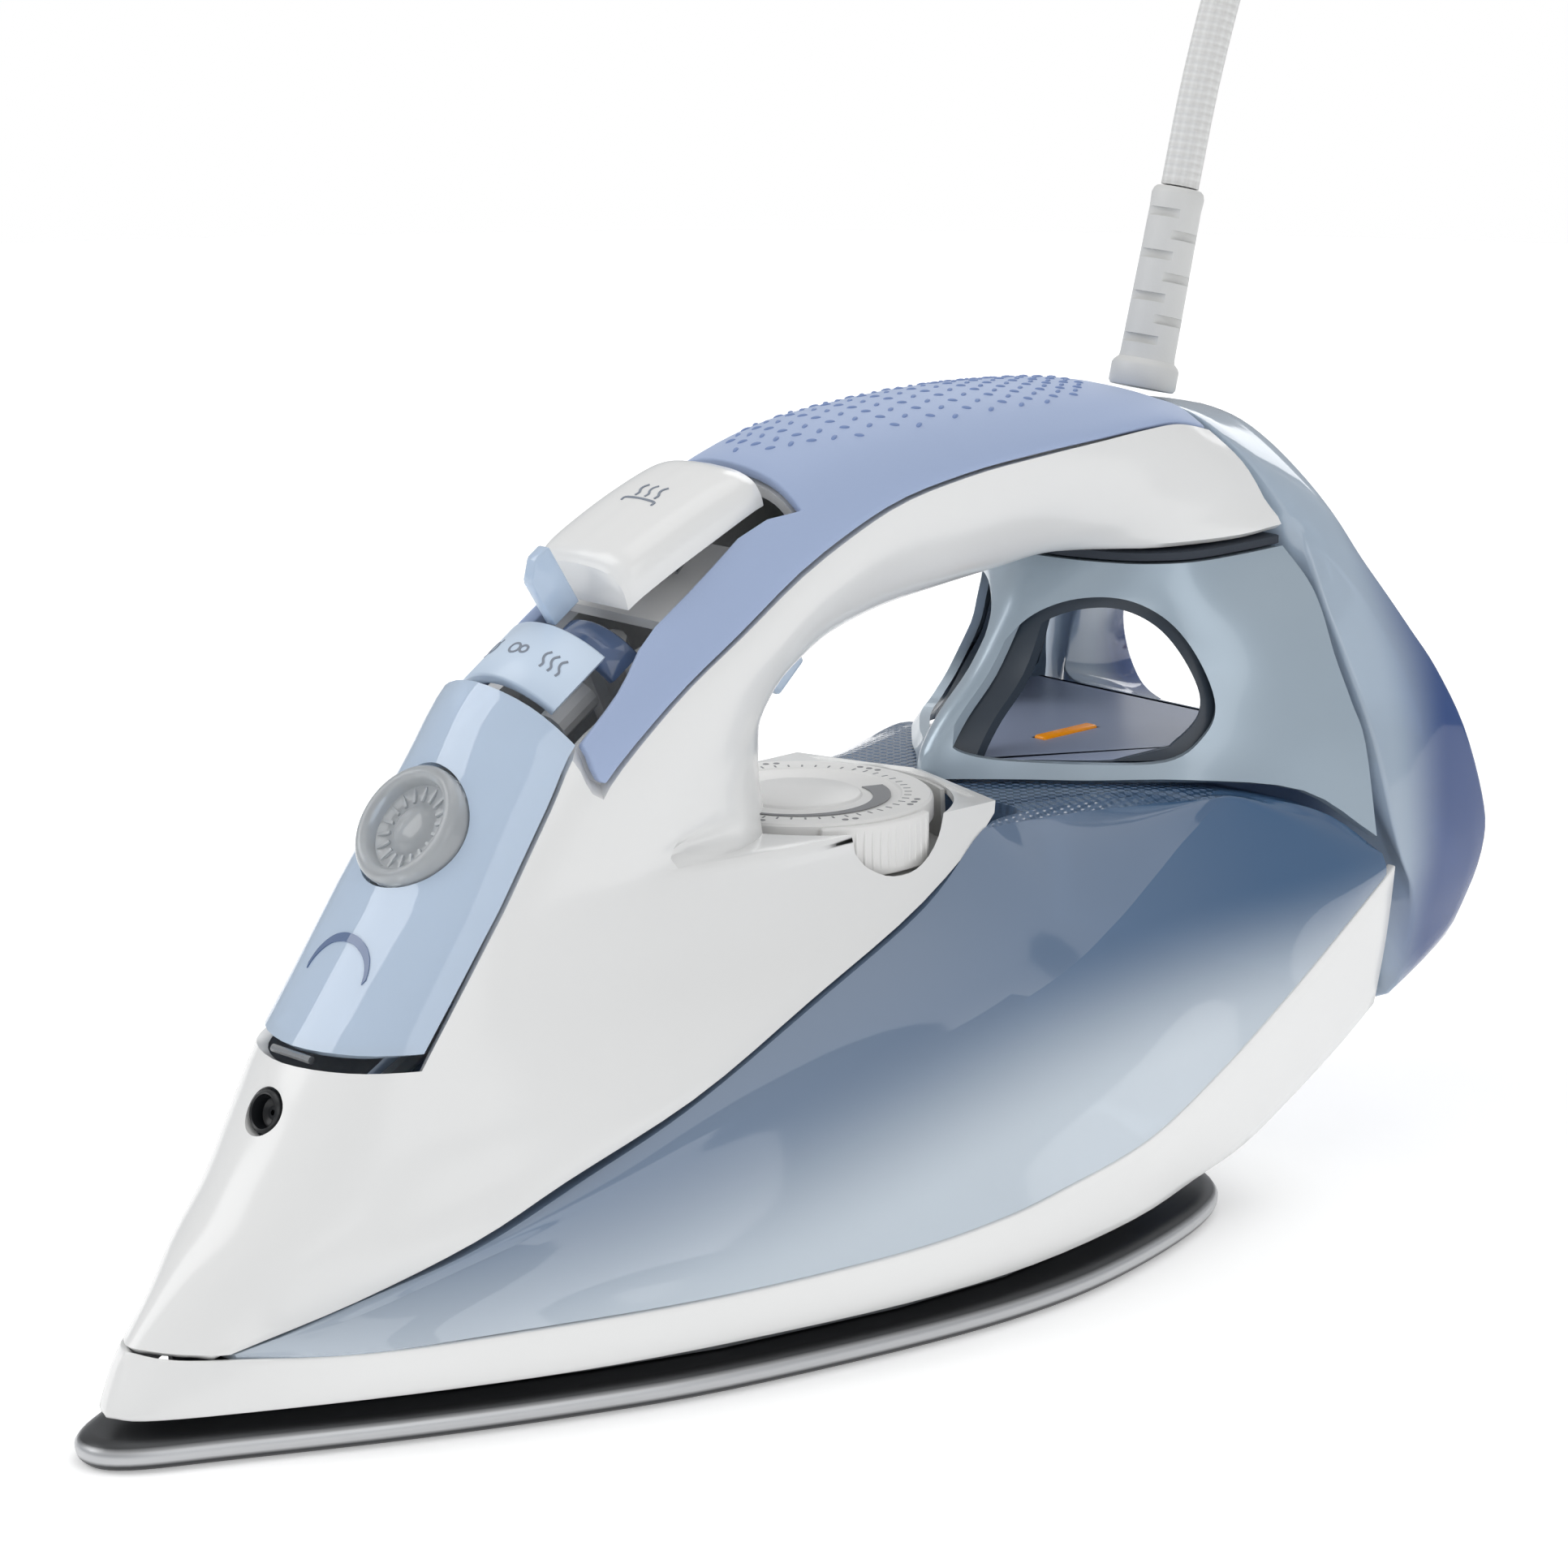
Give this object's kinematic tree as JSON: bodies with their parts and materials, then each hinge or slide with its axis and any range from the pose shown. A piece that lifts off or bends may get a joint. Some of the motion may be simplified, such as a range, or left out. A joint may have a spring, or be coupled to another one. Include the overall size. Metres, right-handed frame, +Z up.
{
  "type": "steam iron",
  "caption": "Steam iron with pointed soleplate, clear water tank, loop handle, temperature dial, steam selector, spray nozzle, open heel column and a free mains lead.",
  "frame": {"origin": "under the middle of the iron's own bounding box, on the plane that the soleplate rests on", "axes": "+Z up from the ironed surface, -Y towards the pointed nose, +X across the iron"},
  "size_m": [0.1198, 0.5154, 0.2881],
  "materials": {
    "white_plastic": "glossy",
    "soft_grip": "satin",
    "clear_blue": "glossy",
    "tank_plastic": "glossy",
    "silver_blue": "pearl",
    "dark_plastic": "satin",
    "heel_plastic": "glossy",
    "sole_metal": "polished",
    "cast_metal": "cast",
    "steel": "brushed",
    "knob_plastic": "clear",
    "brass": "machined",
    "soft_rubber": "matte",
    "board": "matte",
    "amber_plastic": "glossy",
    "cord_sleeve": "woven",
    "bushing_plastic": "satin"
  },
  "bodies": {
    "body": {"soleplate": "sole_metal", "steam_chamber": "cast_metal", "heating_element": "steel", "chamber_lid": "cast_metal", "thermostat": "brass", "thermal_fuse": "knob_plastic", "lid_screw_right": "steel", "lid_screw_left": "steel", "heat_shield": "white_plastic", "water_tank": "tank_plastic", "tank_floor": "tank_plastic", "upper_housing": "white_plastic", "handle_grip": "soft_grip", "door_hinge_pin": "steel", "filler_tray": "white_plastic", "control_tray": "tank_plastic", "valve_rod": "steel", "drip_valve": "brass", "button_base": "white_plastic", "button_spring": "steel", "spray_nozzle": "dark_plastic", "spray_pump": "white_plastic", "steam_pump": "white_plastic", "spray_hose": "soft_rubber", "steam_hose": "soft_rubber", "dial_well": "white_plastic", "rear_column": "silver_blue", "column_liner": "dark_plastic", "column_gasket": "dark_plastic", "indicator_pad": "soft_grip", "indicator_light": "amber_plastic", "heel_cover": "heel_plastic", "control_board": "board", "terminal_block": "white_plastic", "cord_clamp": "white_plastic", "power_cord": "cord_sleeve", "cord_coil": "cord_sleeve", "plug_body": "bushing_plastic", "plug_pin_rear": "brass", "plug_pin_front": "brass"},
    "door": {"filling_door": "clear_blue", "door_knob": "knob_plastic"},
    "selector": {"steam_selector": "white_plastic", "selector_lever": "clear_blue", "selector_shaft": "white_plastic"},
    "dial": {"temperature_dial": "white_plastic", "dial_scale": "soft_rubber", "dial_tab": "white_plastic", "dial_shaft": "steel"},
    "button": {"steam_button": "white_plastic"},
    "trigger": {"steam_trigger": "clear_blue"},
    "bushing": {"cord_bushing": "bushing_plastic"}
  },
  "joints": [
    {"name": "door_hinge", "type": "hinge", "parent": "body", "child": "door", "pos_m": [0, -0.1044, 0.0606], "axis": [1, 0, 0], "range_deg": [0, 70]},
    {"name": "selector_turn", "type": "hinge", "parent": "body", "child": "selector", "pos_m": [0, -0.0515, 0.1032], "axis": [0, 0.84, 0.5426], "range_deg": [-20, 20]},
    {"name": "dial_turn", "type": "hinge", "parent": "body", "child": "dial", "pos_m": [0, 0.012, 0], "axis": [0, 0, 1], "range_deg": [-70, 70]},
    {"name": "button_press", "type": "slide", "parent": "body", "child": "button", "axis": [0, 0.325, -0.9457], "range_m": [0, 0.0025], "stiffness_N_per_m": 600, "springref_m": -0.001, "deforming": ["button_spring"]},
    {"name": "trigger_pull", "type": "slide", "parent": "body", "child": "trigger", "axis": [0, -0.6591, 0.7521], "range_m": [0, 0.003], "stiffness_N_per_m": 300, "springref_m": -0.001},
    {"name": "bushing_swivel", "type": "hinge", "parent": "body", "child": "bushing", "pos_m": [0, 0.1016, 0.1476], "axis": [0, 0.2555, 0.9668], "range_deg": [-90, 90]}
  ]
}
